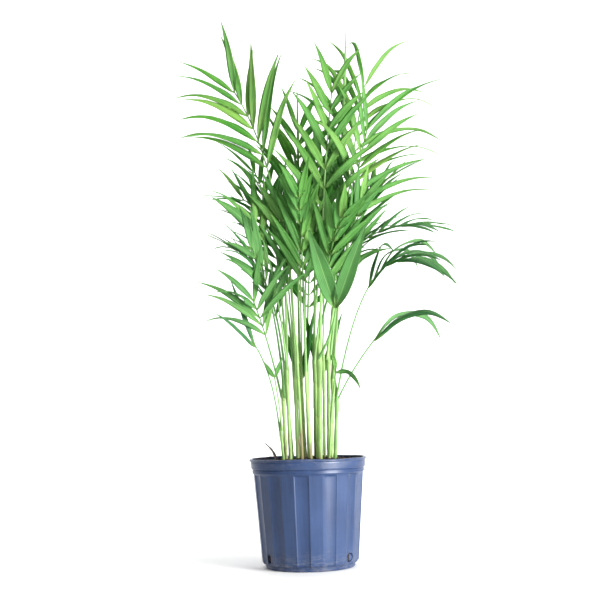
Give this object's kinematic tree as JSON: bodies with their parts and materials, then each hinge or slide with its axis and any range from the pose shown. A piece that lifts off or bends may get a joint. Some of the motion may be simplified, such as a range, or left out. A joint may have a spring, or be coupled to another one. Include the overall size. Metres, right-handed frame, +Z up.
{
  "type": "potted palm",
  "caption": "Clump of slender canes with arching feather fronds, tall unopened spears and young leaves, standing in soil in a fluted round nursery pot.",
  "frame": {"origin": "centre of the pot's foot ring, on the plane the pot stands on", "axes": "+Z up along the pot's axis, -Y towards the viewer, +X to the viewer's right"},
  "size_m": [0.6412, 0.5455, 1.202],
  "materials": {
    "pot_plastic": "satin blue-black moulded polyethylene",
    "soil": "loose dark peat and bark mix",
    "cane": "smooth yellow-green sheathed stem",
    "frond": "satin green leaf",
    "dry_sheath": "dry dark brown fibre"
  },
  "bodies": {
    "root": {"bark_chip_01": "dry_sheath", "bark_chip_02": "dry_sheath", "cane_01": "cane", "cane_02": "cane", "cane_03": "cane", "cane_04": "cane", "cane_05": "cane", "cane_06": "cane", "cane_07": "cane", "cane_08": "cane", "cane_09": "cane", "cane_10": "cane", "cane_11": "cane", "cane_12": "cane", "cane_13": "cane", "cane_14": "cane", "cane_15": "cane", "cane_16": "cane", "dry_sheath_01": "dry_sheath", "frond_01": "frond", "frond_02": "frond", "frond_03": "frond", "frond_04": "frond", "frond_05": "frond", "frond_06": "frond", "frond_07": "frond", "frond_08": "frond", "frond_09": "frond", "frond_10": "frond", "frond_11": "frond", "frond_12": "frond", "frond_13": "frond", "frond_14": "frond", "frond_15": "frond", "frond_16": "frond", "frond_17": "frond", "frond_18": "frond", "frond_19": "frond", "frond_20": "frond", "pot": "pot_plastic", "shoot_01": "cane", "shoot_02": "cane", "shoot_03": "cane", "shoot_04": "cane", "shoot_05": "cane", "soil": "soil", "spear_01": "frond", "spear_02": "frond", "spear_03": "frond", "spear_04": "frond", "spear_05": "frond", "spear_06": "frond", "young_leaf_01": "frond", "young_leaf_02": "frond", "young_leaf_03": "frond", "young_leaf_04": "frond", "young_leaf_05": "frond", "young_leaf_06": "frond", "young_leaf_07": "frond", "young_leaf_08": "frond"}
  },
  "joints": []
}
